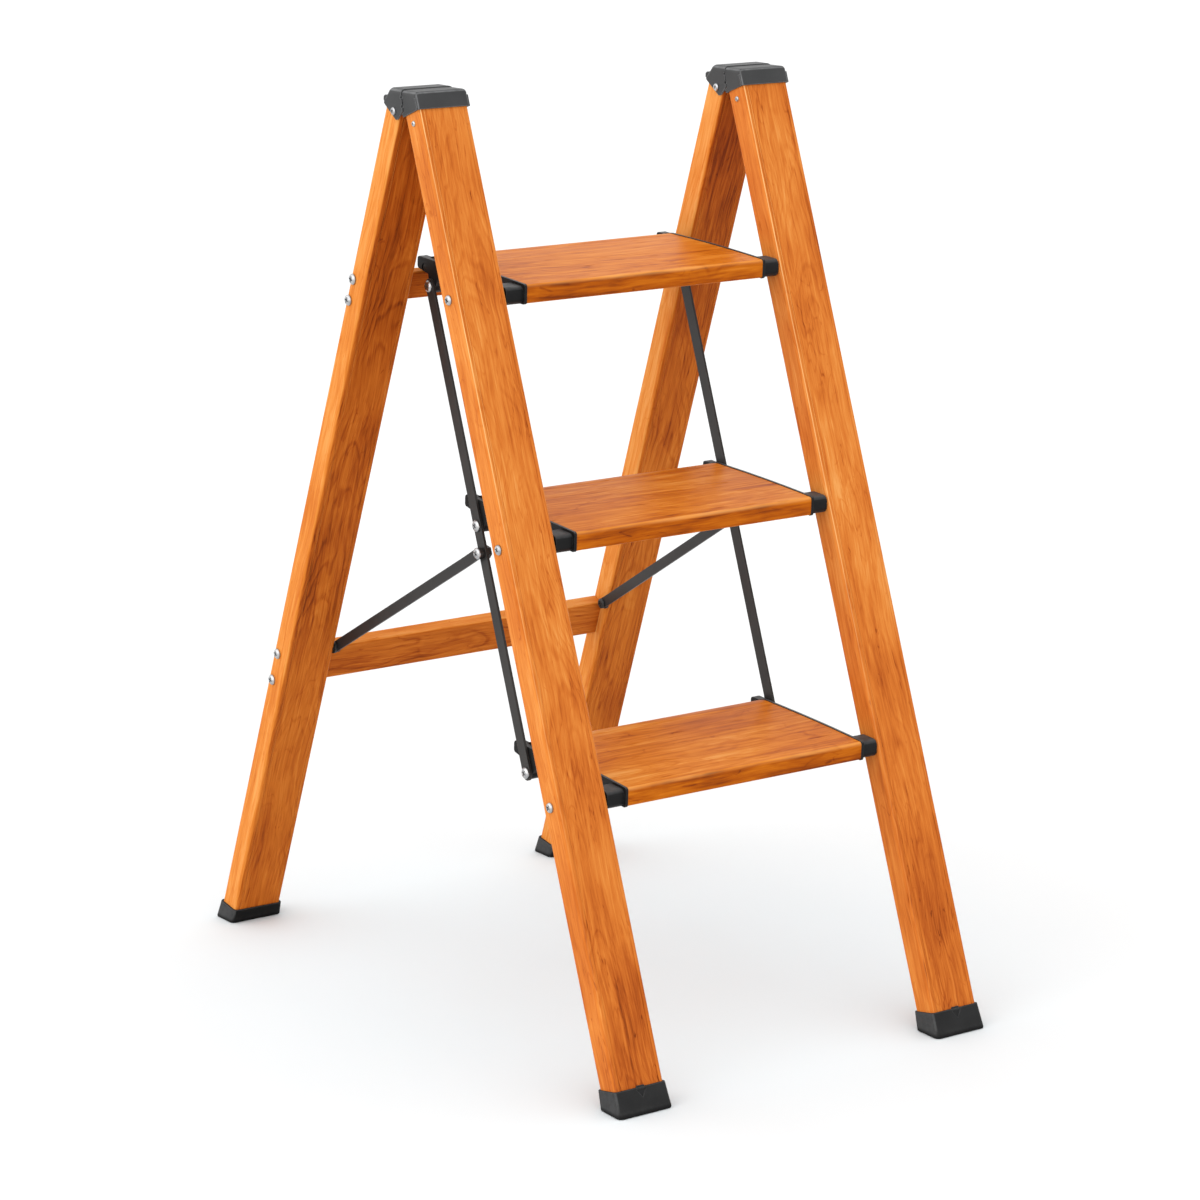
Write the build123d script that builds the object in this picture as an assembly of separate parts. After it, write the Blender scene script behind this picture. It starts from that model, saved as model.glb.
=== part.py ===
from build123d import *
import os
from math import sin, cos, tan, radians, degrees, atan2, hypot

os.makedirs("parts", exist_ok=True)

# ---------------------------------------------------------------- driving dimensions (mm, degrees)
FRONT_WIDTH = 488.0          # across the two front legs, which are parallel
TOP_Z = 1028.0               # height where front and rear legs share the same width
LEG_W, LEG_T = 62.0, 30.0    # leg section: face width, thickness
LEG_WALL, LEG_R = 1.3, 4.0
GROOVE_X, GROOVE_W, GROOVE_D = 24.6, 1.3, 0.5   # decorative line along both edges of a leg face
FRONT_TILT, REAR_TILT = 20.3, 20.7
FRONT_FOOT_Y, REAR_FOOT_Y = -396.0, 396.0       # leg mid-planes at the floor
REAR_SPLAY = 0.017           # outward lean of the rear legs, mm per mm of height
LEG_START = 10.0             # leg tube starts this far up the leg, inside its foot
HINGE_Y, HINGE_Z, HINGE_R = 10.0, 1008.0, 3.0
FOLD_ANGLE = 40.0            # rear frame swing from open to folded

STEP_Z = {"top": 818.0, "middle": 565.0, "bottom": 306.0}   # step pivot heights
STEP_TILT = 3.0              # treads rise slightly to the rear
STEP_SWING = 90.0 - FRONT_TILT - STEP_TILT
TREAD_HALF = 157.0           # half length of a tread
TREAD_FRONT, TREAD_REAR = -17.0, 186.0          # from the step pivot
TREAD_TOP, TREAD_BOTTOM = 12.0, -9.0
TREAD_WALL = 1.4
FLANGE_T = 3.0
LUG_OUT = 167.5              # outer face of the bracket's rear block
BOSS_OUT = 181.3             # outer face of the bracket's pivot boss
PIVOT_R = 3.0                # M6 pivots
RUN = 0.06                   # running clearance on a pivot, radial

LINK_IN, LINK_OUT, LINK_W = 168.0, 171.0, 15.0
LINK_DROP = -12.0            # link pivots below the step pivots
BRACE_IN, BRACE_OUT, BRACE_W = 174.5, 177.0, 12.0   # at the brace's front eye
BRACE_SET = 12.9             # the brace is set outwards by this much at its rear eye, to reach the leg
BRACE_BELOW = 30.0           # brace pivot below the middle link pivot, along the link bar

BAR_LOW_Z, BAR_LOW_H, BAR_LOW_N = 338.5, 45.0, (-15.0, 3.5)
BAR_UP_Z, BAR_UP_H, BAR_UP_N = 801.0, 34.0, (-15.0, -3.0)
BAR_WALL = 1.5
BAR_LOW_BOLT, BAR_UP_BOLT = 18.0, 13.0          # bolt offsets from the bar's middle

# ---------------------------------------------------------------- directions and derived points
FT, RT, ST = radians(FRONT_TILT), radians(REAR_TILT), radians(STEP_TILT)
EF = (sin(FT), cos(FT))                 # up along a front leg, in (y, z)
UR = (-sin(RT), cos(RT))                # up along a rear leg
NR = (-cos(RT), -sin(RT))               # out of a rear leg's front face


def turn(v, a):
    return (cos(a) * v[0] - sin(a) * v[1], sin(a) * v[0] + cos(a) * v[1])


def add(p, v, k=1.0):
    return (p[0] + k * v[0], p[1] + k * v[1])


PIVOT = {k: (FRONT_FOOT_Y + z * tan(FT), z) for k, z in STEP_Z.items()}
BAR_LOW_C = (REAR_FOOT_Y - BAR_LOW_Z * tan(RT), BAR_LOW_Z)
BAR_UP_C = (REAR_FOOT_Y - BAR_UP_Z * tan(RT), BAR_UP_Z)
HINGE = (HINGE_Y, HINGE_Z)
BRACE_REAR = add(add(BAR_LOW_C, UR, 27.0), NR, 11.0)


def brace_error(a):
    """Brace length open minus folded, for link pivots a behind the step pivots."""
    p = PIVOT["middle"]
    open_r = add(add(p, (a, LINK_DROP)), EF, -BRACE_BELOW)
    fold_r = add(add(p, turn((a, LINK_DROP), radians(STEP_SWING))), EF, -BRACE_BELOW)
    s = (BRACE_REAR[0] - HINGE[0], BRACE_REAR[1] - HINGE[1])
    fold_s = add(HINGE, turn(s, -radians(FOLD_ANGLE)))
    return hypot(open_r[0] - BRACE_REAR[0], open_r[1] - BRACE_REAR[1]) - hypot(
        fold_r[0] - fold_s[0], fold_r[1] - fold_s[1]
    )


lo, hi = 120.0, 220.0
for _ in range(60):
    mid = 0.5 * (lo + hi)
    if brace_error(lo) * brace_error(mid) <= 0:
        hi = mid
    else:
        lo = mid
LINK_BACK = round(0.5 * (lo + hi), 3)
LINK = {k: add(p, (LINK_BACK, LINK_DROP)) for k, p in PIVOT.items()}
BRACE_FRONT = add(LINK["middle"], EF, -BRACE_BELOW)
BRACE_L = hypot(BRACE_FRONT[0] - BRACE_REAR[0], BRACE_FRONT[1] - BRACE_REAR[1])
LINK_LOCAL = turn((LINK_BACK, LINK_DROP), -ST)      # link pivot in a step's own frame

# ---------------------------------------------------------------- frames
LEG_X = FRONT_WIDTH / 2 - LEG_W / 2
front_plane = Plane(origin=(LEG_X, FRONT_FOOT_Y, 0), x_dir=(1, 0, 0), z_dir=(0, EF[0], EF[1]))
REAR_X = FRONT_WIDTH / 2 + REAR_SPLAY * TOP_Z - LEG_W / 2
rear_plane = Plane(
    origin=(REAR_X, REAR_FOOT_Y, 0), x_dir=(1, 0, 0), z_dir=(-REAR_SPLAY, -tan(RT), 1)
)


def front_s(p):
    return (p[0] - FRONT_FOOT_Y) * EF[0] + p[1] * EF[1]


def rear_s(p):
    return (p[0] - REAR_FOOT_Y) * UR[0] + p[1] * UR[1]


def rear_inner_x(z):
    return FRONT_WIDTH / 2 + REAR_SPLAY * (TOP_Z - z) - LEG_W


# ---------------------------------------------------------------- building helpers
def side_plane(x0):
    """Sketch plane whose axes are the object's Y and Z, facing +X."""
    return Plane(origin=(x0, 0, 0), x_dir=(0, 1, 0), z_dir=(1, 0, 0))


def outline(pts, radius=None):
    if radius:
        return make_face(FilletPolyline(*pts, radius=radius, close=True))
    return make_face(Polyline(*pts, close=True))


def prism(pts, x0, x1, radius=None):
    return extrude(side_plane(x0) * outline(pts, radius), amount=x1 - x0)


def rod(r, x0, x1, p):
    """Round bar along X through the (y, z) point p."""
    return Pos((x0 + x1) / 2, p[0], p[1]) * Rot(0, 90, 0) * Cylinder(r, abs(x1 - x0))


def ring(r_out, r_in, x0, x1, p):
    return rod(r_out, x0, x1, p) - rod(r_in, x0 - 1, x1 + 1, p)


def pan_head(r, h, cross=True):
    """Domed pan head standing on Z = 0 with a cross recess."""
    prof = make_face(
        Polyline((0, 0), (r, 0), (r, 0.42 * h))
        + ThreePointArc((r, 0.42 * h), (0.83 * r, 0.80 * h), (0.50 * r, h))
        + Polyline((0.50 * r, h), (0, h), (0, 0))
    )
    head = revolve(Plane.XZ * prof, Axis.Z, 360)
    if cross:
        for a in (20, 110):
            cut = Pos(0, 0, h - 0.28 * h) * Rot(0, 0, a) * Box(1.16 * r, 0.24 * r, 0.72 * h)
            head -= cut
    return head


def bolt(head_r, head_h, r, length, point, direction, cross=True):
    """Pan-head bolt: underside of the head at point, head towards direction, shank the other way."""
    shape = pan_head(head_r, head_h, cross) + Pos(0, 0, -length / 2) * Cylinder(r, length)
    return Plane(origin=point, z_dir=direction) * shape


def nut(across, r, h, point, direction, start=0.0):
    body = extrude(RegularPolygon(across / 2, 6, major_radius=False), amount=h)
    body = fillet(body.edges().filter_by(Axis.Z), 0.25)
    dome = Pos(0, 0, h) * Cylinder(across / 2 - 0.6, 1.6, align=(Align.CENTER, Align.CENTER, Align.MIN))
    body = body + dome - Cylinder(r, 4 * h)
    return Plane(origin=point, z_dir=direction) * body


def rounded(w, t, r):
    return RectangleRounded(w, t, r)


def mirrored(shape):
    return mirror(shape, about=Plane.YZ)


made = []


def save(shape, name):
    solids = shape.solids() if not isinstance(shape, (list, tuple)) else [
        s for part in shape for s in part.solids()
    ]
    out = solids[0] if len(solids) == 1 else Compound(children=list(solids))
    export_step(out, f"parts/{name}.step")
    made.append((name, len(solids)))


def save_pair(shape, stem):
    """Right-hand piece as built, left-hand piece mirrored."""
    save(shape, stem + "_right")
    save(mirrored(shape), stem + "_left")


def save_group(shapes, name):
    """Identical fasteners on both sides, as one group of separate solids."""
    save(list(shapes) + [mirrored(s) for s in shapes], name)


# ---------------------------------------------------------------- legs
leg_outer = rounded(LEG_W, LEG_T, LEG_R)
for gx in (-GROOVE_X, GROOVE_X):
    for gy in (-LEG_T / 2, LEG_T / 2):
        leg_outer -= Pos(gx, gy) * Rectangle(GROOVE_W, 2 * GROOVE_D)
leg_section = leg_outer - rounded(LEG_W - 2 * LEG_WALL, LEG_T - 2 * LEG_WALL, LEG_R - LEG_WALL)

FRONT_END = 1077.0
CAP_SKIRT = 1075.4
front_leg = front_plane * Pos(0, 0, LEG_START) * extrude(leg_section, amount=FRONT_END - LEG_START)
for key, p in PIVOT.items():
    front_leg -= rod(PIVOT_R + 0.1, 170, 260, p)
CAP_SCREW_S = 1064.0
cap_screw_p = add((FRONT_FOOT_Y, 0), EF, CAP_SCREW_S)
front_leg -= rod(1.6, 170, 260, cap_screw_p)
save_pair(front_leg, "front_leg")

HINGE_S = rear_s(HINGE)
rear_leg = rear_plane * Pos(0, 0, LEG_START) * extrude(leg_section, amount=HINGE_S - 0.75 - LEG_START)
rear_leg -= rod(4.2, 170, 260, HINGE)
rear_leg -= rear_plane * Pos(0, -12.0, HINGE_S) * Box(39.0, 10.0, 22.0)
bar_bolts = []
for c, off, nn in (
    (BAR_LOW_C, BAR_LOW_BOLT, BAR_LOW_N),
    (BAR_UP_C, BAR_UP_BOLT, BAR_UP_N),
):
    for k in (off, -off):
        bar_bolts.append(add(add(c, UR, k), NR, 0.5 * (nn[0] + nn[1])))
for p in bar_bolts:
    rear_leg -= rod(2.65, 170, 280, p)
rear_leg -= rod(PIVOT_R + 0.1, 180, 205, BRACE_REAR)
REAR_SCREW_S = HINGE_S - 14.0
rear_leg -= rear_plane * Pos(0, 15, REAR_SCREW_S) * Rot(90, 0, 0) * Cylinder(1.6, 10)
save_pair(rear_leg, "rear_leg")

# ---------------------------------------------------------------- feet
FRONT_RIM, FRONT_RIM_SLOPE = 25.0, 0.154    # rim height on the leg's axis, and its slope front to back
REAR_RIM, REAR_RIM_SLOPE = 20.6, -0.206


def foot(plane, rim, slope, arrow_side):
    """Flared boot with a flat sole on the floor and a socket for the leg tube."""
    low = Pos(0, 0, -18.0) * rounded(LEG_W + 9.4, LEG_T + 9.4, 7.0)
    high = Pos(0, 0, 36.0) * rounded(LEG_W + 3.2, LEG_T + 3.2, 5.2)
    body = loft([low, high])
    body -= (
        Pos(0, 0, rim)
        * Rot(degrees(atan2(slope, 1.0)), 0, 0)
        * Box(140, 140, 60, align=(Align.CENTER, Align.CENTER, Align.MIN))
    )
    lip = [e for e in body.edges() if abs(e.center().Z - rim - slope * e.center().Y) < 0.3]
    body = fillet(lip, 0.9)
    body -= Pos(0, 0, LEG_START) * extrude(rounded(LEG_W + 0.3, LEG_T + 0.3, LEG_R + 0.15), amount=60)
    # small tab above the rim and a sunk triangle below it, on the outward face
    rim_out = rim + slope * arrow_side * 17.0
    tab = Pos(0, arrow_side * 16.05, rim_out - 0.6) * Box(10.0, 1.5, 5.0)
    tab = fillet([e for e in tab.edges().filter_by(Axis.Y) if e.center().Z > rim_out], 1.4)
    body += tab
    mark = make_face(Polyline((-6.4, -1.8), (6.4, -1.8), (0, -11.0), close=True))
    body -= Pos(0, arrow_side * 18.0, rim_out) * Rot(90, 0, 0) * extrude(mark, amount=1.5, both=True)
    body = plane * body
    body -= Pos(plane.origin.X, plane.origin.Y, -40) * Box(240, 240, 80)
    sole = [e for e in body.edges() if abs(e.center().Z) < 0.01]
    body = fillet(sole, 1.4)
    # shallow grip grooves across the sole
    for gy in (-11.0, 0.0, 11.0):
        body -= Pos(plane.origin.X, plane.origin.Y + gy, 0) * Box(54.0, 3.2, 2.4)
    return body


save_pair(foot(front_plane, FRONT_RIM, FRONT_RIM_SLOPE, -1), "front_foot")
save_pair(foot(rear_plane, REAR_RIM, REAR_RIM_SLOPE, 1), "rear_foot")

# ---------------------------------------------------------------- rear crossbars
def crossbar(c, h, nn, bolt_off):
    width = nn[1] - nn[0]
    mid_n = 0.5 * (nn[0] + nn[1])
    outer = rounded(h, width, 3.0)
    inner = rounded(h - 2 * BAR_WALL, width - 2 * BAR_WALL, 1.6)
    thin = width < 14.0
    for k, end in ((-bolt_off, -1), (bolt_off, 1)):
        inner -= Pos(k, 0) * Circle(0.5 * width - 1.3 if thin else 4.0)
        if thin:    # the narrow bar is solid beyond its screw ports
            inner -= Pos(k + 10.0 * end, 0) * Rectangle(20.0, width)
    section = outer - inner
    for k in (-bolt_off, bolt_off):
        section -= Pos(k, 0) * Circle(2.55)
    mid_p = add(c, NR, mid_n)
    frame = Plane(origin=(-210, mid_p[0], mid_p[1]), x_dir=(0, UR[0], UR[1]), z_dir=(1, 0, 0))
    bar = frame * extrude(section, amount=420)
    z0, z1 = mid_p[1] - 60, mid_p[1] + 60
    x0, x1 = rear_inner_x(z0) - 0.08, rear_inner_x(z1) - 0.08
    keep = extrude(
        Plane(origin=(0, mid_p[0] - 60, 0), x_dir=(1, 0, 0), z_dir=(0, -1, 0))
        * make_face(Polyline((-x0, z0), (x0, z0), (x1, z1), (-x1, z1), close=True)),
        amount=-120,
    )
    return bar & keep


save(crossbar(BAR_LOW_C, BAR_LOW_H, BAR_LOW_N, BAR_LOW_BOLT), "rear_crossbar_lower")
save(crossbar(BAR_UP_C, BAR_UP_H, BAR_UP_N, BAR_UP_BOLT), "rear_crossbar_upper")
save_group(
    [
        bolt(6.1, 3.3, 2.5, 80.0, (rear_inner_x(p[1]) + LEG_W + 0.15, p[0], p[1]), (1, 0, 0))
        for p in bar_bolts
    ],
    "crossbar_bolts",
)

# ---------------------------------------------------------------- caps and top hinge
CAP_IN, CAP_OUT = 180.4, 245.6
SEAM_TOP, SEAM_LOW, SEAM_KNEE = (-5.0, 1031.6), (-9.2, 1009.2), (-6.4, 1006.6)


def front_pt(s, n):
    """(y, z) of a point s up a front leg and n behind its mid-plane."""
    return (
        FRONT_FOOT_Y + s * EF[0] + n * EF[1],
        s * EF[1] - n * EF[0],
    )


def rear_pt(s, n):
    """(y, z) of a point s up a rear leg and n in front of its mid-plane."""
    return (REAR_FOOT_Y + s * UR[0] + n * NR[0], s * UR[1] + n * NR[1])


cap_front_low = front_pt(CAP_SKIRT, -LEG_T / 2 - 1.8)
cap_rear_low = front_pt(CAP_SKIRT, LEG_T / 2 + 1.2)
cap_front_top = front_pt(1094.0, -LEG_T / 2 - 1.8)
front_cap = prism(
    [cap_front_low, cap_front_top, SEAM_TOP, SEAM_LOW, SEAM_KNEE, cap_rear_low], CAP_IN, CAP_OUT
)
end_top = [
    e
    for e in front_cap.edges()
    if e.center().Z > 1031 and abs(e.tangent_at(0.5).Y) > 0.9
]
front_cap = fillet(end_top, 5.0)
front_edge = [
    e
    for e in front_cap.edges()
    if e.center().Y < -31 and e.center().Z > 1030 and abs(e.tangent_at(0.5).X) > 0.9
]
front_cap = fillet(front_edge, 4.0)
# raised beads where the front face turns the corner
for bx in (CAP_IN, CAP_OUT):
    a = front_pt(CAP_SKIRT + 0.2, -LEG_T / 2 + 1.0)
    b = front_pt(CAP_SKIRT + 12.6, -LEG_T / 2 + 1.0)
    bead = Plane(
        origin=(bx, a[0], a[1]), x_dir=(1, 0, 0), z_dir=(0, EF[0], EF[1])
    ) * extrude(rounded(1.8, 3.0, 0.85), amount=12.4)
    front_cap += bead
# socket for the tube end and hollow plug inside the tube
front_cap -= front_plane * Pos(0, 0, 1000) * extrude(
    rounded(LEG_W + 0.3, LEG_T + 0.3, LEG_R + 0.1), amount=FRONT_END + 0.15 - 1000
)
plug = rounded(LEG_W - 2 * LEG_WALL - 0.4, LEG_T - 2 * LEG_WALL - 0.4, 2.7) - rounded(
    LEG_W - 2 * LEG_WALL - 6.4, LEG_T - 2 * LEG_WALL - 6.4, 1.0
)
front_cap += front_plane * Pos(0, 0, 1040) * extrude(plug, amount=FRONT_END + 0.6 - 1040)
front_cap -= rod(1.55, 170, 260, cap_screw_p)
# hinge tongue
TONGUE = (196.0, 230.0)
KNUCKLE = 6.4
tongue = prism(
    [(-10.0, 1024.5), add(HINGE, (-1.5, 6.2)), add(HINGE, (-2.0, -6.05)), (-13.0, 1011.0)],
    TONGUE[0],
    TONGUE[1],
) + rod(KNUCKLE, TONGUE[0], TONGUE[1], HINGE)
front_cap += tongue
front_cap -= rod(HINGE_R + RUN, 170, 260, HINGE)
save_pair(front_cap, "front_cap")

RCAP_IN, RCAP_OUT = 179.8, 246.6
seat_front = rear_pt(HINGE_S, LEG_T / 2 - 0.2)
seat_back = rear_pt(HINGE_S, -LEG_T / 2 - 1.4)
rcap_pts = [
    (-4.2, 1032.6),
    (18.6, 1032.6),
    (28.6, 1022.0),
    add(seat_back, (0.4, 3.0)),
    seat_back,
    seat_front,
    (-8.0, 1009.9),
]
rear_cap = prism(rcap_pts, RCAP_IN, RCAP_OUT)
top_ends = [
    e for e in rear_cap.edges() if e.center().Z > 1032 and abs(e.tangent_at(0.5).Y) > 0.9
]
rear_cap = fillet(top_ends, 6.0)
back_edges = [
    e
    for e in rear_cap.edges()
    if e.center().Y > 18 and e.center().Z > 1031.5 and abs(e.tangent_at(0.5).X) > 0.9
]
rear_cap = fillet(back_edges, 5.0)
# side cheeks reaching down over the leg around the hinge pin
cheek_pts = [
    (-6.6, 1013.6),
    (-7.2, 1009.4),
    (1.8, 1000.0),
    (5.4, 999.0),
    add(seat_back, (0.0, -0.2)),
    add(seat_back, (-4.0, 5.0)),
]
for x0, x1 in ((RCAP_IN, 181.7), (244.9, RCAP_OUT)):
    rear_cap += prism(cheek_pts, x0, x1, 1.4)
# plug inside the tube, behind the hinge knuckle
rear_cap += rear_plane * Pos(0, 8.2, HINGE_S - 11.0) * Box(56.0, 9.6, 24.0)
# room for the tongue to swing
rear_cap -= prism(
    [add(HINGE, (5.0, 8.6)), (-2.0, 1026.5), (-14.0, 1026.5), (-14.0, 985.0), add(HINGE, (5.0, -8.0))],
    TONGUE[0] - 0.6,
    TONGUE[1] + 0.6,
)
rear_cap -= rod(KNUCKLE + 0.45, TONGUE[0] - 0.6, TONGUE[1] + 0.6, HINGE)
rear_cap -= rod(HINGE_R + 0.03, 170, 260, HINGE)
rear_cap -= rear_plane * Pos(0, 15, REAR_SCREW_S) * Rot(90, 0, 0) * Cylinder(1.55, 34)
# small notches in the seam and a finger lug at the back
for nx in (RCAP_IN, RCAP_OUT):
    for nz in (1014.5, 1024.0):
        rear_cap -= Pos(nx, -6.4 + (nz - 1014.5) * 0.167, nz) * Box(3.0, 2.6, 2.8)
rear_cap += prism(
    [(24.0, 1014.8), (32.2, 1015.4), (35.0, 1017.4), (34.8, 1021.6), (32.0, 1023.6), (22.0, 1023.6)],
    RCAP_IN + 3.0,
    RCAP_OUT - 3.0,
    1.0,
)
save_pair(rear_cap, "rear_cap")

pin = rod(HINGE_R, 177.9, 248.5, HINGE)
for x0, d in ((RCAP_OUT + 0.1, 1), (RCAP_IN - 0.1, -1)):
    pin += Plane(origin=(x0, HINGE[0], HINGE[1]), z_dir=(d, 0, 0)) * pan_head(4.3, 1.9, cross=False)
pin = pin & (Pos(213.2, HINGE[0], HINGE[1]) * Box(2 * (RCAP_OUT + 2.0 - 213.2), 20, 20))
for x0 in (RCAP_OUT + 2.0, RCAP_IN - 2.0):
    pin -= rod(1.7, x0 - 1.4, x0 + 1.4, HINGE)
save_pair(pin, "hinge_pin")

cap_screws = [
    bolt(3.0, 1.7, 1.4, 9.0, (LEG_X + LEG_W / 2 + 0.02, cap_screw_p[0], cap_screw_p[1]), (1, 0, 0)),
    bolt(3.0, 1.7, 1.4, 9.0, (LEG_X - LEG_W / 2 - 0.02, cap_screw_p[0], cap_screw_p[1]), (-1, 0, 0)),
]
save_group(cap_screws, "front_cap_screws")
back_dir = rear_plane.y_dir
screw_at = rear_plane.from_local_coords(Vector(0, LEG_T / 2 + 0.02, REAR_SCREW_S))
save_group([bolt(3.0, 1.7, 1.4, 9.0, screw_at, back_dir)], "rear_cap_screws")

# ---------------------------------------------------------------- steps
F, R_, T, B = TREAD_FRONT, TREAD_REAR, TREAD_TOP, TREAD_BOTTOM


def tread_outline(grow=0.0):
    """Tread section: rounded nose, slightly crowned top, rear edge rolled down."""
    f, r, t, b = F - grow, R_ + grow, T + grow, B - grow
    path = (
        ThreePointArc((f + 3.6, t - 0.2), (84.0, t + 0.35), (R_ - 36.0, t - 0.8))
        + ThreePointArc((R_ - 36.0, t - 0.8), (R_ - 13.5, t - 4.2), (r, t - 12.6))
        + ThreePointArc((r, t - 12.6), (r - 0.6, b + 1.9), (r - 4.6, b))
        + Line((r - 4.6, b), (f + 3.0, b))
        + ThreePointArc((f + 3.0, b), (f + 0.9, b + 0.9), (f, b + 3.0))
        + Line((f, b + 3.0), (f, t - 3.8))
        + ThreePointArc((f, t - 3.8), (f + 1.05, t - 1.22), (f + 3.6, t - 0.2))
    )
    return make_face(path)


RIBS = (43.0, 98.0, 151.0)
SCREW_PORT = (R_ - 13.0, -2.2)
tread_section = tread_outline()
void = tread_outline(-TREAD_WALL)
for ry in RIBS:
    void -= Pos(ry, 0) * Rectangle(TREAD_WALL, 40)
void -= Pos(*SCREW_PORT) * Circle(3.7)
void -= Pos(SCREW_PORT[0], -6.0) * Rectangle(2.6, 8.0)
tread_section -= void
tread_section -= Pos(*SCREW_PORT) * Circle(2.0)


def step_plane(key, x0=0.0):
    p = PIVOT[key]
    return Plane(origin=(x0, p[0], p[1]), x_dir=(0, cos(ST), sin(ST)), z_dir=(1, 0, 0))


QY, QZ = LINK_LOCAL
# end bracket in the step's own frame: sketch axes are depth and height, built along +X
flange = Pos(0, 0, TREAD_HALF) * extrude(tread_outline(0.7), amount=FLANGE_T)
boss_sk = make_face(
    FilletPolyline((-14.6, -9.9), (13.0, -9.9), (13.0, 9.9), (-14.6, 9.9), radius=[7.0, 4.0, 4.0, 7.0], close=True)
)
boss = Pos(0, 0, TREAD_HALF) * extrude(boss_sk, amount=BOSS_OUT - TREAD_HALF)
block_sk = make_face(
    FilletPolyline(
        (112.0, -7.6),
        (118.0, 8.6),
        (R_ + 1.0, 8.6),
        (R_ + 1.0, -4.6),
        (QY + 8.6, -8.4),
        (QY + 6.4, QZ),
        (QY - 6.8, QZ),
        (QY - 14.0, -8.4),
        radius=[2.0, 2.5, 3.6, 3.6, 2.4, 0.8, 0.8, 3.0],
        close=True,
    )
) + Pos(QY, QZ) * Circle(7.4)
block = Pos(0, 0, TREAD_HALF) * extrude(block_sk, amount=LUG_OUT - TREAD_HALF)
plug_box = Pos(70.5, 1.4, TREAD_HALF - 10.0) * Box(45.6, 15.6, 20.0)
plug_box -= Pos(70.5, 1.4, TREAD_HALF - 12.0) * Box(39.6, 9.6, 20.0)
bracket = flange + boss + block + plug_box
round_edges = [
    e
    for e in bracket.edges()
    if abs(e.center().Z - LUG_OUT) < 0.01 and e.length > 3.0
]
bracket = fillet(round_edges, 0.9)
boss_edges = [e for e in bracket.edges() if abs(e.center().Z - BOSS_OUT) < 0.01]
bracket = fillet(boss_edges, 0.9)
BUSH_R = 4.6
bracket -= Pos(0, 0, 170) * Cylinder(BUSH_R, 60)
bracket -= Pos(QY, QZ, 165) * Cylinder(PIVOT_R + 0.1, 40)
bracket -= Pos(*SCREW_PORT, 165) * Cylinder(2.1, 40)
bracket -= Pos(*SCREW_PORT, LUG_OUT) * Cylinder(4.4, 6.0)

bush = Pos(0, 0, 0.5 * (TREAD_HALF + 0.3 + BOSS_OUT)) * (
    Cylinder(BUSH_R - 0.05, BOSS_OUT - TREAD_HALF - 0.3)
    - Cylinder(PIVOT_R + RUN, 60)
)
end_screw = Pos(*SCREW_PORT, LUG_OUT - 3.0 + 0.05) * (
    pan_head(3.9, 2.2) + Pos(0, 0, -13.0) * Cylinder(1.95, 26.0)
)
link_bolt = Pos(QY, QZ, LINK_OUT + 0.35) * (
    pan_head(6.4, 3.1) + Pos(0, 0, -11.0) * Cylinder(PIVOT_R, 22.0)
)
link_nut = Pos(QY, QZ, TREAD_HALF - 0.05) * Rot(180, 0, 0) * (
    fillet(
        extrude(RegularPolygon(5.0, 6, major_radius=False), amount=4.6).edges().filter_by(Axis.Z),
        0.25,
    )
    + Pos(0, 0, 5.2) * Cylinder(4.3, 1.2)
    - Cylinder(PIVOT_R + 0.04, 30)
)

for key in STEP_Z:
    pl = step_plane(key)
    save(step_plane(key, -TREAD_HALF) * extrude(tread_section, amount=2 * TREAD_HALF), f"tread_{key}")
    save_pair(pl * bracket, f"bracket_{key}")
    save_group([pl * bush], f"pivot_bushes_{key}")
    save_group([pl * end_screw], f"bracket_screws_{key}")
    save_group([pl * link_bolt], f"link_bolts_{key}")
    save_group([pl * link_nut], f"link_nuts_{key}")

step_bolts, step_nuts = [], []
for key, p in PIVOT.items():
    step_bolts.append(bolt(5.6, 3.3, PIVOT_R, 97.0, (FRONT_WIDTH / 2 + 0.02, p[0], p[1]), (1, 0, 0)))
    step_nuts.append(nut(10.0, PIVOT_R + 0.04, 4.8, (TREAD_HALF - 0.6, p[0], p[1]), (-1, 0, 0)))
save_group(step_bolts, "step_pivot_bolts")
save_group(step_nuts, "step_pivot_nuts")

# ---------------------------------------------------------------- link bars
link_span = hypot(LINK["top"][0] - LINK["bottom"][0], LINK["top"][1] - LINK["bottom"][1])
link_frame = Plane(
    origin=(LINK_IN, 0.5 * (LINK["top"][0] + LINK["bottom"][0]), 0.5 * (LINK["top"][1] + LINK["bottom"][1])),
    x_dir=(0, EF[0], EF[1]),
    z_dir=(1, 0, 0),
)
link = link_frame * extrude(SlotOverall(link_span + 17.0, LINK_W), amount=LINK_OUT - LINK_IN)
link = fillet([e for e in link.edges() if abs(e.center().X - LINK_OUT) < 0.01], 0.5)
for p in LINK.values():
    link -= rod(PIVOT_R + RUN, 160, 180, p)
link -= rod(PIVOT_R + RUN, 160, 180, BRACE_FRONT)
save_pair(link, "link_bar")

# collar nut pressed into the link bar behind the brace
anchor = rod(PIVOT_R, LINK_IN - 0.5, LINK_OUT - 0.1, BRACE_FRONT)
anchor_hex = Plane(origin=(LINK_IN - 0.1, BRACE_FRONT[0], BRACE_FRONT[1]), x_dir=(0, EF[0], EF[1]), z_dir=(-1, 0, 0)) * fillet(
    extrude(RegularPolygon(6.4, 6, major_radius=False), amount=5.2).edges().filter_by(Axis.Z), 0.4
)
save_pair(anchor + anchor_hex, "brace_anchor")

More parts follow.
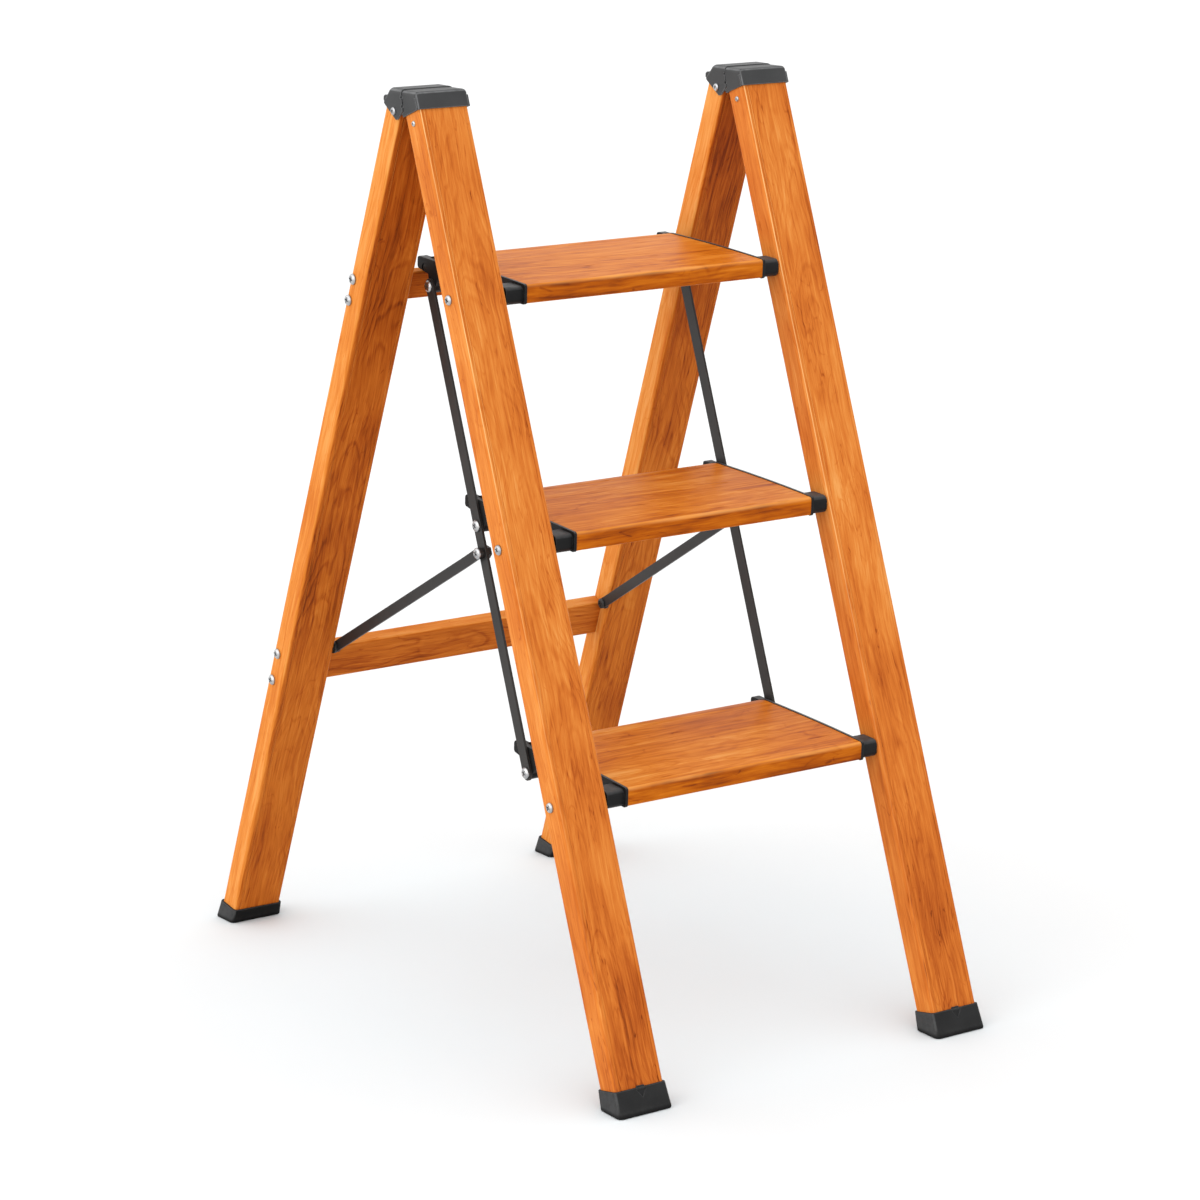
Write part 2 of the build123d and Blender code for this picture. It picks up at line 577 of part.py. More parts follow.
# ---------------------------------------------------------------- braces
bdir = ((BRACE_FRONT[0] - BRACE_REAR[0]) / BRACE_L, (BRACE_FRONT[1] - BRACE_REAR[1]) / BRACE_L)
brace_mid = (0.5 * (BRACE_FRONT[0] + BRACE_REAR[0]), 0.5 * (BRACE_FRONT[1] + BRACE_REAR[1]))
brace_frame = Plane(
    origin=(BRACE_IN - 10.0, brace_mid[0], brace_mid[1]), x_dir=(0, bdir[0], bdir[1]), z_dir=(1, 0, 0)
)
strip_frame = Plane(
    origin=(0, brace_mid[0], brace_mid[1]), x_dir=(0, bdir[0], bdir[1]), z_dir=(0, bdir[1], -bdir[0])
)
# flat strip with a slight set near each eye, seen along its width: along the brace, then outwards
half, bent = 0.5 * BRACE_L, BRACE_IN + BRACE_SET
strip_t = BRACE_OUT - BRACE_IN
strip = outline(
    [
        (-half - 12.0, bent),
        (-half + 16.0, bent),
        (half - 30.0, BRACE_IN),
        (half + 12.0, BRACE_IN),
        (half + 12.0, BRACE_IN + strip_t),
        (half - 30.0, BRACE_IN + strip_t),
        (-half + 16.0, bent + strip_t),
        (-half - 12.0, bent + strip_t),
    ]
)
brace = (brace_frame * extrude(SlotOverall(BRACE_L + 14.0, BRACE_W), amount=40.0)) & (
    strip_frame * extrude(strip, amount=12.0, both=True)
)
brace -= rod(PIVOT_R + RUN, 160, 200, BRACE_REAR)
brace -= rod(PIVOT_R + 0.03, 160, 200, BRACE_FRONT)
save_pair(brace, "brace")
save_pair(
    bolt(6.4, 3.0, PIVOT_R, BRACE_OUT - LINK_OUT - 0.5, (BRACE_OUT + 0.02, BRACE_FRONT[0], BRACE_FRONT[1]), (1, 0, 0)),
    "brace_bolt",
)
save_pair(ring(5.6, PIVOT_R + 0.03, LINK_OUT + 0.5, BRACE_IN - 0.02, BRACE_FRONT), "brace_spacer")

# stand-off and bolt that carry the brace on the rear leg
mount_x = rear_inner_x(BRACE_REAR[1])
stand_x = bent + strip_t + 0.3
standoff = rod(7.0, stand_x, mount_x - 0.2, BRACE_REAR)
standoff = fillet([e for e in standoff.edges() if abs(e.center().X - stand_x) < 0.01], 0.6)
standoff -= rod(PIVOT_R + 0.04, 160, 210, BRACE_REAR)
save_pair(standoff, "brace_standoff")
save_group(
    [bolt(6.2, 2.6, PIVOT_R, 15.5, (bent - 0.3, BRACE_REAR[0], BRACE_REAR[1]), (-1, 0, 0))],
    "brace_rear_bolts",
)

for name, count in made:
    print(name, count)
print("link_back", LINK_BACK, "brace_front", BRACE_FRONT, "brace_rear", BRACE_REAR, "brace_l", BRACE_L)
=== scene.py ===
import math

import bpy
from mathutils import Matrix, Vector

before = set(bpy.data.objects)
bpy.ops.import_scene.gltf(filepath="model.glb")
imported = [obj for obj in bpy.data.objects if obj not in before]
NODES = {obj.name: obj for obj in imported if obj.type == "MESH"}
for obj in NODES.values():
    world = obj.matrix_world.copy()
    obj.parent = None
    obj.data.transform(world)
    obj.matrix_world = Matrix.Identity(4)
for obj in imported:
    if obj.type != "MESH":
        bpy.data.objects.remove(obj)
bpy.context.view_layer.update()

scene = bpy.context.scene

# ------------------------------------------------------------------ camera, at the photograph's viewing angle
cam_data = bpy.data.cameras.new("camera")
cam_data.sensor_width = 36.0
cam_data.lens = 114.42
cam_data.clip_end = 200.0
cam = bpy.data.objects.new("camera", cam_data)
cam.location = (-2.37495, -3.46917, 1.46410)
cam.rotation_euler = (math.pi / 2 - 0.239, 0.0, -0.603)
scene.collection.objects.link(cam)
scene.camera = cam


# ------------------------------------------------------------------ node building
class Net:
    """Short names for building one material's nodes."""

    def __init__(self, name):
        self.mat = bpy.data.materials.new(name)
        self.mat.use_nodes = True
        self.tree = self.mat.node_tree
        self.tree.nodes.clear()
        self.out = self.node("ShaderNodeOutputMaterial")
        self.bsdf = self.node("ShaderNodeBsdfPrincipled")
        self.link(self.bsdf.outputs["BSDF"], self.out.inputs["Surface"])

    def node(self, kind):
        return self.tree.nodes.new(kind)

    def link(self, a, b):
        self.tree.links.new(a, b)

    def put(self, socket, value):
        if isinstance(value, bpy.types.NodeSocket):
            self.link(value, socket)
        else:
            socket.default_value = value

    def position(self):
        return self.node("ShaderNodeTexCoord").outputs["Object"]

    def math(self, op, a, b=None, c=None, clamp=False):
        n = self.node("ShaderNodeMath")
        n.operation = op
        n.use_clamp = clamp
        for i, x in enumerate((a, b, c)):
            if x is not None:
                self.put(n.inputs[i], x)
        return n.outputs[0]

    def vec(self, op, a, b=None, scale=None):
        n = self.node("ShaderNodeVectorMath")
        n.operation = op
        self.put(n.inputs[0], a)
        if b is not None:
            self.put(n.inputs[1], b)
        if scale is not None:
            self.put(n.inputs["Scale"], scale)
        return n.outputs["Value" if op in ("DOT_PRODUCT", "LENGTH", "DISTANCE") else "Vector"]

    def xyz(self, x, y, z):
        n = self.node("ShaderNodeCombineXYZ")
        for i, v in enumerate((x, y, z)):
            self.put(n.inputs[i], v)
        return n.outputs[0]

    def noise(self, vector, scale=1.0, detail=2.0, rough=0.5, distortion=0.0, colour=False):
        n = self.node("ShaderNodeTexNoise")
        n.noise_dimensions = "3D"
        self.put(n.inputs["Vector"], vector)
        n.inputs["Scale"].default_value = scale
        n.inputs["Detail"].default_value = detail
        n.inputs["Roughness"].default_value = rough
        n.inputs["Distortion"].default_value = distortion
        return n.outputs["Color" if colour else 0]

    def voronoi(self, vector, scale=1.0, feature="F1", randomness=1.0):
        n = self.node("ShaderNodeTexVoronoi")
        n.feature = feature
        self.put(n.inputs["Vector"], vector)
        n.inputs["Scale"].default_value = scale
        n.inputs["Randomness"].default_value = randomness
        return n.outputs["Distance"]

    def step(self, value, lo, hi, a=0.0, b=1.0):
        """Smooth change from a to b as value goes from lo to hi."""
        n = self.node("ShaderNodeMapRange")
        n.interpolation_type = "SMOOTHSTEP"
        self.put(n.inputs["Value"], value)
        for k, v in (("From Min", lo), ("From Max", hi), ("To Min", a), ("To Max", b)):
            n.inputs[k].default_value = v
        return n.outputs[0]

    def ramp(self, value, stops, mode="LINEAR"):
        n = self.node("ShaderNodeValToRGB")
        n.color_ramp.interpolation = mode
        e = n.color_ramp.elements
        while len(e) < len(stops):
            e.new(0.5)
        for i, (at, colour) in enumerate(stops):
            e[i].position = at
            e[i].color = (*colour, 1.0)
        self.put(n.inputs["Fac"], value)
        return n.outputs["Color"]

    def mix(self, factor, a, b, blend="MIX"):
        n = self.node("ShaderNodeMix")
        n.data_type = "RGBA"
        n.blend_type = blend
        self.put(n.inputs[0], factor)
        for i, v in ((6, a), (7, b)):
            if isinstance(v, tuple):
                v = (*v, 1.0)
            self.put(n.inputs[i], v)
        return n.outputs[2]

    def bump(self, height, strength, distance, normal=None):
        n = self.node("ShaderNodeBump")
        n.inputs["Strength"].default_value = strength
        n.inputs["Distance"].default_value = distance
        self.put(n.inputs["Height"], height)
        if normal is not None:
            self.link(normal, n.inputs["Normal"])
        return n.outputs[0]

    def edge(self, radius):
        """About 0 on flat faces and up to 1 near sharp edges."""
        b = self.node("ShaderNodeBevel")
        b.samples = 6
        b.inputs["Radius"].default_value = radius
        g = self.node("ShaderNodeNewGeometry")
        d = self.vec("DOT_PRODUCT", b.outputs[0], g.outputs["True Normal"])
        return self.step(d, 0.995, 0.80)

    def turned(self):
        """1 on roundings, where the surface turns from one main face to the next."""
        n = self.node("ShaderNodeSeparateXYZ")
        self.link(self.node("ShaderNodeTexCoord").outputs["Normal"], n.inputs[0])
        a, b, c = (self.math("ABSOLUTE", n.outputs[i]) for i in range(3))
        most = self.math("MAXIMUM", self.math("MAXIMUM", a, b), c)
        least = self.math("MINIMUM", self.math("MINIMUM", a, b), c)
        middle = self.math("SUBTRACT", self.math("SUBTRACT", self.math("ADD", self.math("ADD", a, b), c), most), least)
        return self.step(middle, 0.42, 0.60)

    def facing(self, axis):
        """How far the undisturbed surface faces along an axis of the object, -1 to 1."""
        return self.vec("DOT_PRODUCT", self.node("ShaderNodeTexCoord").outputs["Normal"], Vector(axis))

    def finish(self, colour, rough, normal=None, **constants):
        self.put(self.bsdf.inputs["Base Color"], colour)
        self.put(self.bsdf.inputs["Roughness"], rough)
        if normal is not None:
            self.link(normal, self.bsdf.inputs["Normal"])
        for k, v in constants.items():
            self.bsdf.inputs[k.replace("_", " ")].default_value = v
        return self.mat


# ------------------------------------------------------------------ materials
def wood(name, along, across, origin, seed, kind="front"):
    """Wood-grain print. along is the grain's direction, across lies in the broad face."""
    m = Net(name)
    tread = kind == "tread"
    calm = {"front": 0.85, "tread": 0.55, "rear": 0.55}.get(kind, 0.65)
    ez = Vector(along).normalized()
    ex = Vector(across)
    ex = (ex - ez * ex.dot(ez)).normalized()
    ey = ez.cross(ex)
    p = m.vec("SUBTRACT", m.position(), Vector(origin))
    u0 = m.vec("DOT_PRODUCT", p, ex)
    v = m.vec("DOT_PRODUCT", p, ey)
    w0 = m.vec("DOT_PRODUCT", p, ez)
    w = m.math("ADD", w0, seed * 3.71)
    u = m.math("ADD", u0, seed * 0.37)
    facing = m.vec("DOT_PRODUCT", m.node("ShaderNodeTexCoord").outputs["Normal"], ex)
    side = m.step(m.math("ABSOLUTE", facing), 0.45, 0.85)

    # slow wander of the grain from side to side
    sway = m.noise(m.xyz(m.math("MULTIPLY", u, 9.0), m.math("MULTIPLY", v, 9.0), m.math("MULTIPLY", w, 5.0)), 1.0, 2.0, 0.5, 0.0, True)
    sway = m.vec("SCALE", m.vec("SUBTRACT", sway, (0.5, 0.5, 0.5)), scale=0.020)
    q = m.vec("ADD", m.xyz(u, v, w), sway)

    def stretched(ku, kw, detail, rough, distortion=0.0):
        return m.noise(m.vec("MULTIPLY", q, (ku, ku, kw)), 1.0, detail, rough, distortion)

    # arches where the print shows a growth ring cut at a low angle: nested U lines, only here and there
    heart = m.noise(m.xyz(seed * 1.93, 0.4, m.math("MULTIPLY", w, 2.0 if tread else 4.5)), 1.0, 1.0, 0.5)
    du = m.math("MULTIPLY_ADD", m.math("SUBTRACT", heart, 0.5), -0.20 if tread else -0.085, u0)
    bow = m.math("MULTIPLY", m.math("MULTIPLY", du, du), 700.0 if tread else 3600.0)
    wave = m.math("MULTIPLY", m.math("SUBTRACT", stretched(30.0, 11.0, 2.0, 0.5), 0.5), 4.6)
    g = m.math("ADD", m.math("MULTIPLY_ADD", w, 12.0 if tread else 18.0, bow), wave)
    ring = m.math("FRACT", g)
    light = m.math("MULTIPLY", m.step(ring, 0.62, 0.75), m.step(ring, 0.98, 0.80))
    shade = m.step(m.math("ABSOLUTE", m.math("SUBTRACT", ring, 0.45)), 0.20, 0.03)
    shown = m.math("MULTIPLY", m.step(stretched(17.0, 7.0, 1.0, 0.5), 0.36, 0.62), m.step(side, 0.0, 1.0, 1.0, 0.15))

    broad = stretched(26.0, 8.0, 2.0, 0.5)
    slow = stretched(9.0, 2.6, 1.0, 0.5)
    flame = stretched(30.0 if tread else 60.0, 15.0 if tread else 13.0, 3.0, 0.55, 1.4)
    vein = m.math("ABSOLUTE", m.math("SUBTRACT", stretched(26.0 if tread else 44.0, 9.0, 2.0, 0.55, 0.8), 0.5))
    vein = m.math("MULTIPLY", m.step(vein, 0.022, 0.0), m.step(stretched(21.0, 8.0, 1.0, 0.5), 0.46, 0.62))
    fibre = stretched(105.0 if tread else 270.0, 6.5 if tread else 9.0, 3.0, 0.62)
    fine = stretched(280.0 if tread else 700.0, 18.0 if tread else 24.0, 2.0, 0.6)
    streak = m.step(stretched(62.0 if tread else 150.0, 5.0 if tread else 3.6, 3.0, 0.6, 0.3), 0.55, 0.72)
    pores = m.step(stretched(170.0 if tread else 430.0, 30.0 if tread else 34.0, 1.0, 0.5), 0.63, 0.75)
    pores = m.math("MULTIPLY", pores, m.step(stretched(40.0, 12.0, 2.0, 0.5), 0.44, 0.62))
    mark = m.step(stretched(80.0 if tread else 170.0, 26.0 if tread else 34.0, 2.0, 0.6, 1.2), 0.66, 0.74)

    tone = m.math("MULTIPLY_ADD", m.math("SUBTRACT", broad, 0.5), 0.95 * calm, {"front": 0.62, "tread": 0.60}.get(kind, 0.56))
    tone = m.math("MULTIPLY_ADD", m.math("SUBTRACT", slow, 0.5), 0.40, tone)
    tone = m.math("MULTIPLY_ADD", m.math("SUBTRACT", flame, 0.5), (0.60 if tread else 0.48) * calm, tone)
    tone = m.math("MULTIPLY_ADD", m.math("SUBTRACT", fibre, 0.5), 1.05 if tread else 0.75, tone)
    tone = m.math("MULTIPLY_ADD", m.math("SUBTRACT", fine, 0.5), 0.70 if tread else 0.50, tone)
    tone = m.math("MULTIPLY_ADD", m.math("MULTIPLY", light, shown), 0.05, tone)
    tone = m.math("MULTIPLY_ADD", m.math("MULTIPLY", shade, shown), -0.11 if kind == "front" else -0.15, tone)
    tone = m.math("MULTIPLY_ADD", vein, -0.20 * calm, tone)
    tone = m.math("MULTIPLY_ADD", streak, -0.22 if tread else -0.14, tone)
    tone = m.math("MULTIPLY_ADD", pores, (-0.42 if tread else -0.34) * calm, tone)
    tone = m.math("MULTIPLY_ADD", mark, -0.34 * calm, tone)
    if kind in ("front", "rear"):
        # painted light: the sides are painted a little lighter, as if lit from the side; painted shade: the foot of a
        # leg is painted darker towards the floor
        tone = m.math("MULTIPLY_ADD", side, 0.26 if kind == "rear" else 0.05, tone)
        tone = m.math("ADD", tone, m.step(w0, 0.42, 0.08, 0.0, -0.04 if kind == "rear" else -0.15))
    # painted shade: the faces that are not sides are painted darker
    if kind in ("rear", "bar"):
        tone = m.math("MULTIPLY_ADD", m.step(side, 0.0, 1.0, 1.0, 0.0), -0.09 if kind == "rear" else -0.13, tone)
    if kind == "rear":
        # painted shade: the front and back faces are painted darker towards the hinge, and a little darker high up
        # than low down
        painted_hinge_shade = m.math("MULTIPLY", m.step(w0, 0.74, 0.94), m.step(side, 0.0, 1.0, 1.0, 0.0))
        tone = m.math("MULTIPLY_ADD", painted_hinge_shade, -0.15, tone)
        tone = m.math("MULTIPLY_ADD", m.step(side, 0.0, 1.0, 1.0, 0.0), m.step(w0, 0.25, 0.50, 0.02, -0.03), tone)
    # painted light: the top and bottom faces of a crossbar are painted lighter
    if kind == "bar":
        tone = m.math("MULTIPLY_ADD", side, 0.22, tone)
    if tread:
        # painted shade: the forward-facing nose is painted darker than the top
        tone = m.math("MULTIPLY_ADD", m.step(facing, -0.55, -0.92), -0.30, tone)

    blue = {"front": 0.006, "tread": -0.006}.get(kind, 0.002)
    stops = [
        (0.00, (0.165, 0.029, 0.004)),
        (0.26, (0.350, 0.074, 0.006 + 0.5 * blue)),
        (0.52, (0.490, 0.130, 0.012 + blue)),
        (0.76, (0.578, 0.188, 0.027 + blue)),
        (1.00, (0.645, 0.274, 0.066 + blue)),
    ]
    colour = m.ramp(tone, stops)
    if kind == "front":
        # painted highlights along the front corner towards -X and beside the groove next to it, a faint one along the
        # corner towards +X, and a painted shade line between that corner and groove; they fade towards the foot
        uneven = m.step(stretched(60.0, 12.0, 2.0, 0.6), 0.25, 0.65, 0.45, 1.0)
        uneven = m.math("MULTIPLY", uneven, m.step(w0, 0.22, 0.78, 0.10, 1.0))

        def line(at, half, soft):
            d = m.math("ABSOLUTE", m.math("SUBTRACT", u0, at))
            return m.math("MULTIPLY", m.step(d, half + soft, half), uneven)

        colour = m.mix(m.math("MULTIPLY", line(-0.0266, 0.0005, 0.0007), 0.30), colour, (0.300, 0.060, 0.004))
        colour = m.mix(m.math("MULTIPLY", line(-0.0247, 0.0003, 0.0005), 0.68), colour, (0.780, 0.380, 0.110))
        colour = m.mix(m.math("MULTIPLY", line(-0.0289, 0.0002, 0.0005), 0.58), colour, (0.860, 0.580, 0.260))
        colour = m.mix(m.math("MULTIPLY", line(0.0297, 0.0004, 0.0006), 0.22), colour, (0.800, 0.400, 0.130))
    else:
        # edges painted lighter: partly wear, partly a painted highlight
        rub_and_highlight = m.math("MULTIPLY", m.edge(0.0010), m.step(stretched(60.0, 12.0, 2.0, 0.6), 0.30, 0.70))
        if tread:
            # painted highlight along the top front edge of a tread
            nose_highlight = m.step(m.math("ABSOLUTE", m.math("ADD", u0, 0.0153)), 0.0026, 0.0012)
            nose_highlight = m.math("MULTIPLY", nose_highlight, m.step(m.vec("DOT_PRODUCT", p, (0.0, 0.0, 1.0)), 0.006, 0.010))
            nose_highlight = m.math("MULTIPLY", nose_highlight, m.step(stretched(30.0, 9.0, 2.0, 0.6), 0.30, 0.65, 0.30, 1.0))
            colour = m.mix(m.math("MULTIPLY", nose_highlight, 0.45), colour, (0.780, 0.400, 0.130))
        colour = m.mix(m.math("MULTIPLY", rub_and_highlight, 0.30), colour, (0.74, 0.33, 0.09))
    rough = m.math("MULTIPLY_ADD", m.math("SUBTRACT", fibre, 0.5), 0.16, 0.40)
    rough = m.math("MULTIPLY_ADD", pores, 0.12, rough)
    height = m.math("MULTIPLY_ADD", fine, 0.45, m.math("MULTIPLY", fibre, 0.55))
    height = m.math("MULTIPLY_ADD", pores, -0.6, height)
    normal = m.bump(height, 0.16, 0.0006)
    return m.finish(colour, rough, normal, IOR=1.45, Specular_IOR_Level=0.04 if tread else 0.05)


def plastic(name, dark, light, grain=1500.0, rough=0.46, lit_top_colour=None, shine=0.22):
    """Moulded charcoal plastic: fine spark-eroded texture, faint flow marks, edges and roundings painted lighter as a
    painted highlight with some wear.
    """
    m = Net(name)
    p = m.position()
    cloud = m.noise(p, 26.0, 3.0, 0.5)
    fine = m.noise(p, grain, 2.0, 0.6)
    paler_patches = m.step(m.noise(m.vec("MULTIPLY", p, (420.0, 90.0, 240.0)), 1.0, 3.0, 0.6), 0.62, 0.78)
    colour = m.ramp(m.math("MULTIPLY_ADD", fine, 0.4, m.math("MULTIPLY", cloud, 0.6)), [(0.25, dark), (0.75, light)])
    # painted highlight on edges and roundings, with some edge wear
    wear_and_highlight = m.math("MULTIPLY", m.math("MAXIMUM", m.edge(0.0017), m.turned()), m.step(m.noise(p, 120.0, 3.0, 0.6), 0.25, 0.70, 0.40, 1.0))
    if lit_top_colour:
        # painted light: top faces are painted a lighter grey, as if lit from above
        up = m.math("MULTIPLY", m.step(m.facing((0, 0, 1)), 0.55, 0.92), m.step(m.noise(p, 90.0, 3.0, 0.6), 0.20, 0.60, 0.55, 1.0))
        colour = m.mix(up, colour, lit_top_colour)
    colour = m.mix(m.math("MULTIPLY", wear_and_highlight, 0.75), colour, tuple(min(1.0, 3.6 * c) for c in light))
    colour = m.mix(m.math("MULTIPLY", paler_patches, 0.12), colour, tuple(min(1.0, 2.0 * c) for c in light))
    r = m.math("MULTIPLY_ADD", m.math("SUBTRACT", fine, 0.5), 0.22, rough)
    r = m.math("MULTIPLY_ADD", paler_patches, 0.08, r)
    normal = m.bump(fine, 0.20, 0.0004)
    return m.finish(colour, r, normal, IOR=1.49, Specular_IOR_Level=shine)


def rubber(name):
    """Rubber feet: matte, dustier towards the floor."""
    m = Net(name)
    p = m.position()
    fine = m.noise(p, 1300.0, 2.0, 0.6)
    cloud = m.noise(p, 34.0, 3.0, 0.55)
    colour = m.ramp(m.math("MULTIPLY_ADD", fine, 0.4, m.math("MULTIPLY", cloud, 0.6)), [(0.25, (0.010, 0.010, 0.0102)), (0.75, (0.023, 0.023, 0.0233))])
    # painted shade: faces that lean towards the floor are painted blacker
    shade_below = m.step(m.facing((0, 0, 1)), 0.05, -0.30)
    colour = m.mix(m.math("MULTIPLY", shade_below, 0.75), colour, (0.002, 0.002, 0.002))
    height = m.vec("DOT_PRODUCT", p, (0.0, 0.0, 1.0))
    # painted contact shade: the rounded edge of the sole is painted black
    contact_shade = m.step(height, 0.0060, 0.0022)
    dust = m.math("MULTIPLY", m.step(height, 0.010, 0.0), m.step(m.noise(p, 210.0, 4.0, 0.6), 0.35, 0.70))
    colour = m.mix(m.math("MULTIPLY", dust, 0.10), colour, (0.16, 0.155, 0.15))
    # painted highlight on the edges and roundings above the sole, with some edge wear
    wear_and_highlight = m.math("MULTIPLY", m.math("MAXIMUM", m.edge(0.0016), m.turned()), m.step(m.noise(p, 120.0, 3.0, 0.6), 0.25, 0.70, 0.35, 1.0))
    wear_and_highlight = m.math("MULTIPLY", wear_and_highlight, m.step(height, 0.004, 0.012))
    # painted light: the two sides are painted paler than the front and back, in patches
    paler_patches = m.math("MULTIPLY", m.step(m.math("ABSOLUTE", m.facing((1, 0, 0))), 0.55, 0.92), m.step(m.noise(p, 150.0, 4.0, 0.6), 0.20, 0.65, 0.45, 1.0))
    colour = m.mix(m.math("MULTIPLY", paler_patches, 0.85), colour, (0.046, 0.046, 0.0462))
    colour = m.mix(m.math("MULTIPLY", wear_and_highlight, 0.70), colour, (0.070, 0.070, 0.070))
    colour = m.mix(m.math("MULTIPLY", contact_shade, 0.80), colour, (0.0022, 0.0021, 0.0020))
    r = m.math("MULTIPLY_ADD", m.math("SUBTRACT", fine, 0.5), 0.20, 0.58)
    return m.finish(colour, r, m.bump(fine, 0.28, 0.0004), IOR=1.45, Specular_IOR_Level=0.11)


def painted(name, base):
    """Satin black paint on flat steel: orange peel, edges painted lighter as chips and a painted highlight."""
    m = Net(name)
    p = m.position()
    peel = m.noise(p, 620.0, 2.0, 0.5)
    cloud = m.noise(p, 22.0, 3.0, 0.5)
    colour = m.ramp(cloud, [(0.30, tuple(0.82 * c for c in base)), (0.72, tuple(1.22 * c for c in base))])
    # edges painted lighter: chipped paint, and a painted highlight
    chips_and_highlight = m.math("MULTIPLY", m.edge(0.0009), m.step(m.noise(p, 200.0, 4.0, 0.6), 0.38, 0.62, 0.15, 1.0))
    colour = m.mix(m.math("MULTIPLY", chips_and_highlight, 0.6), colour, (0.11, 0.107, 0.104))
    r = m.math("MULTIPLY_ADD", m.math("SUBTRACT", peel, 0.5), 0.20, 0.42)
    return m.finish(colour, r, m.bump(peel, 0.10, 0.0004), IOR=1.5, Specular_IOR_Level=0.26)


def zinc(name):
    """Bright zinc plating: cool and warm patches, fine turning marks."""
    m = Net(name)
    p = m.position()
    cloud = m.noise(p, 140.0, 3.0, 0.55)
    fine = m.noise(m.vec("MULTIPLY", p, (300.0, 1900.0, 1900.0)), 1.0, 2.0, 0.6)
    colour = m.ramp(cloud, [(0.28, (0.30, 0.30, 0.31)), (0.52, (0.44, 0.44, 0.445)), (0.76, (0.58, 0.575, 0.565))])
    r = m.math("MULTIPLY_ADD", fine, 0.16, m.math("MULTIPLY_ADD", cloud, 0.10, 0.18))
    return m.finish(colour, r, m.bump(fine, 0.10, 0.0003), Metallic=1.0)


def nylon(name):
    m = Net(name)
    p = m.position()
    fine = m.noise(p, 1200.0, 2.0, 0.6)
    colour = m.ramp(m.noise(p, 60.0, 3.0, 0.5), [(0.3, (0.50, 0.48, 0.42)), (0.7, (0.62, 0.60, 0.54))])
    return m.finish(colour, m.math("MULTIPLY_ADD", fine, 0.15, 0.38), m.bump(fine, 0.12, 0.0003), IOR=1.53)


FRONT_UP, REAR_UP = (0.0, 0.34694, 0.93789), (0.017, -0.37787, 1.0)
mats = {
    "front_leg_left": wood("wood_front_left", FRONT_UP, (1, 0, 0), (-0.213, -0.396, 0), 1.0),
    "front_leg_right": wood("wood_front_right", FRONT_UP, (1, 0, 0), (0.213, -0.396, 0), 2.0),
    "rear_leg_left": wood("wood_rear_left", REAR_UP, (1, 0, 0), (-0.2305, 0.396, 0), 3.0, "rear"),
    "rear_leg_right": wood("wood_rear_right", (-0.017, -0.37787, 1.0), (1, 0, 0), (0.2305, 0.396, 0), 4.0, "rear"),
    "rear_crossbar_upper": wood("wood_bar_upper", (1, 0, 0), (0, -0.3535, 0.9354), (0, 0.0933, 0.801), 5.0, "bar"),
    "rear_crossbar_lower": wood("wood_bar_lower", (1, 0, 0), (0, -0.3535, 0.9354), (0, 0.2681, 0.3385), 6.0, "bar"),
    "tread_top": wood("wood_tread_top", (1, 0, 0), (0, 1, 0.0524), (0, -0.0934, 0.818), 7.0, "tread"),
    "tread_middle": wood("wood_tread_middle", (1, 0, 0), (0, 1, 0.0524), (0, -0.1870, 0.565), 8.0, "tread"),
    "tread_bottom": wood("wood_tread_bottom", (1, 0, 0), (0, 1, 0.0524), (0, -0.2828, 0.306), 9.0, "tread"),
}
CAP = plastic("cap_plastic", (0.021, 0.0213, 0.0219), (0.042, 0.0425, 0.0434))
BRACKET = plastic("bracket_plastic", (0.0040, 0.0040, 0.0042), (0.0100, 0.0101, 0.0104), lit_top_colour=(0.058, 0.058, 0.0585), shine=0.12)
FOOT = rubber("foot_rubber")
LINK = painted("link_black", (0.0185, 0.0170, 0.0160))
BRACE = painted("brace_black", (0.0165, 0.0158, 0.0155))
ZINC = zinc("zinc_plate")
NYLON = nylon("bush_nylon")

for name, node in NODES.items():
    if name in mats:
        mat = mats[name]
    elif "cap_screws" in name:
        mat = ZINC
    elif "_cap_" in name:
        mat = CAP
    elif "_foot_" in name:
        mat = FOOT
    elif name.startswith("pivot_bushes"):
        mat = NYLON
    elif name.startswith("bracket_screws"):
        mat = BRACE
    elif name.startswith("bracket_"):
        mat = BRACKET
    elif name.startswith(("link_bar", "brace_anchor")):
        mat = LINK
    elif name.startswith(("brace_left", "brace_right", "brace_spacer", "brace_standoff", "brace_rear_bolts")):
        mat = BRACE
    else:
        mat = ZINC
    node.data.materials.clear()
    node.data.materials.append(mat)

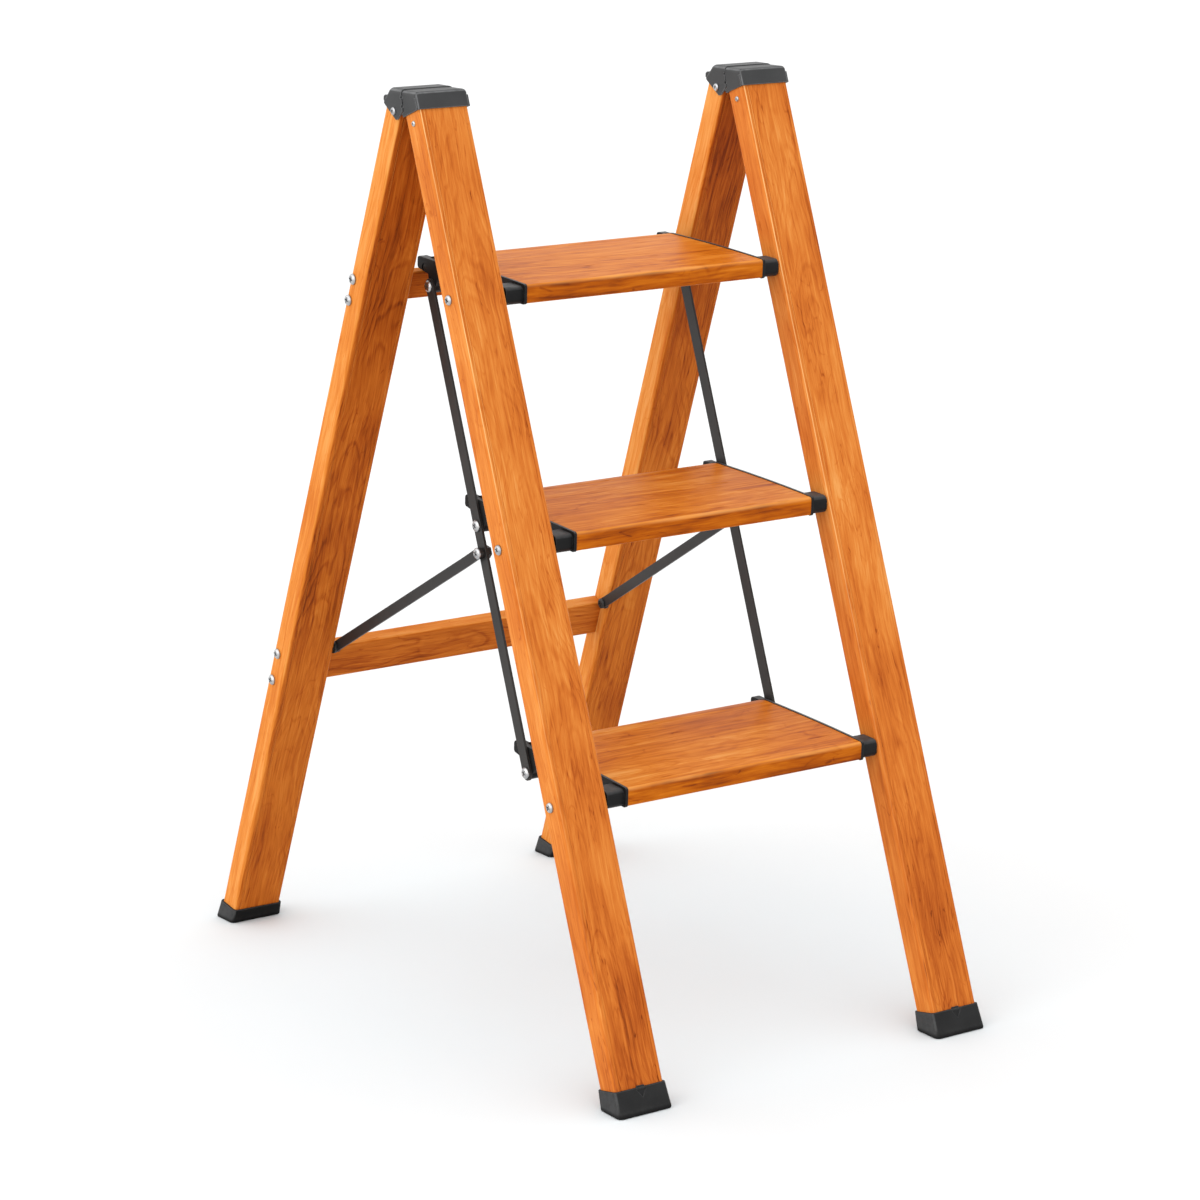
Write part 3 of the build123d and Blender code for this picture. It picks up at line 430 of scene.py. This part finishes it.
# ------------------------------------------------------------------ stage
floor_mesh = bpy.data.meshes.new("floor")
F = 60.0
floor_mesh.from_pydata([(-F, -F, -0.0004), (F, -F, -0.0004), (F, F, -0.0004), (-F, F, -0.0004)], [], [(0, 1, 2, 3)])
floor = bpy.data.objects.new("floor", floor_mesh)
scene.collection.objects.link(floor)
fm = Net("floor_white")
# white floor, a shade cooler under the object, where the wood's warm light falls
near = fm.step(fm.vec("LENGTH", fm.position()), 0.72, 0.22)
cloud = fm.noise(fm.position(), 3.0, 2.0, 0.5)
far_colour = fm.ramp(cloud, [(0.3, (0.677, 0.684, 0.686)), (0.7, (0.687, 0.694, 0.696))])
near_colour = fm.ramp(cloud, [(0.3, (0.652, 0.700, 0.721)), (0.7, (0.662, 0.710, 0.731))])
floor_mesh.materials.append(fm.finish(fm.mix(near, far_colour, near_colour), 0.9))

world = bpy.data.worlds.new("studio")
scene.world = world
world.use_nodes = True
wt = world.node_tree
wt.nodes.clear()


def wmath(op, a, b):
    n = wt.nodes.new("ShaderNodeMath")
    n.operation = op
    for i, x in enumerate((a, b)):
        if isinstance(x, bpy.types.NodeSocket):
            wt.links.new(x, n.inputs[i])
        else:
            n.inputs[i].default_value = x
    return n.outputs[0]


w_co = wt.nodes.new("ShaderNodeTexCoord")


def lobe(direction, power, strength, base):
    """Soft light of the sky around a direction, added to base."""
    d = wt.nodes.new("ShaderNodeVectorMath")
    d.operation = "DOT_PRODUCT"
    wt.links.new(w_co.outputs["Generated"], d.inputs[0])
    d.inputs[1].default_value = Vector(direction).normalized()
    part = wmath("POWER", wmath("MAXIMUM", d.outputs["Value"], 0.0), power)
    return wmath("ADD", wmath("MULTIPLY", part, strength), base)


# an even white room with a wide bank on the left and a weaker one above the camera
light = lobe((-0.98, 0.10, 0.17), 3.0, 1.74, 1.27)
light = lobe((-0.30, -0.75, 0.588), 4.0, 0.50, light)
w_bg = wt.nodes.new("ShaderNodeBackground")
wt.links.new(light, w_bg.inputs["Strength"])
w_bg.inputs["Color"].default_value = (1.0, 1.0, 1.0, 1.0)
w_out = wt.nodes.new("ShaderNodeOutputWorld")
wt.links.new(w_bg.outputs[0], w_out.inputs["Surface"])

scene.view_settings.view_transform = "Standard"
scene.view_settings.look = "None"
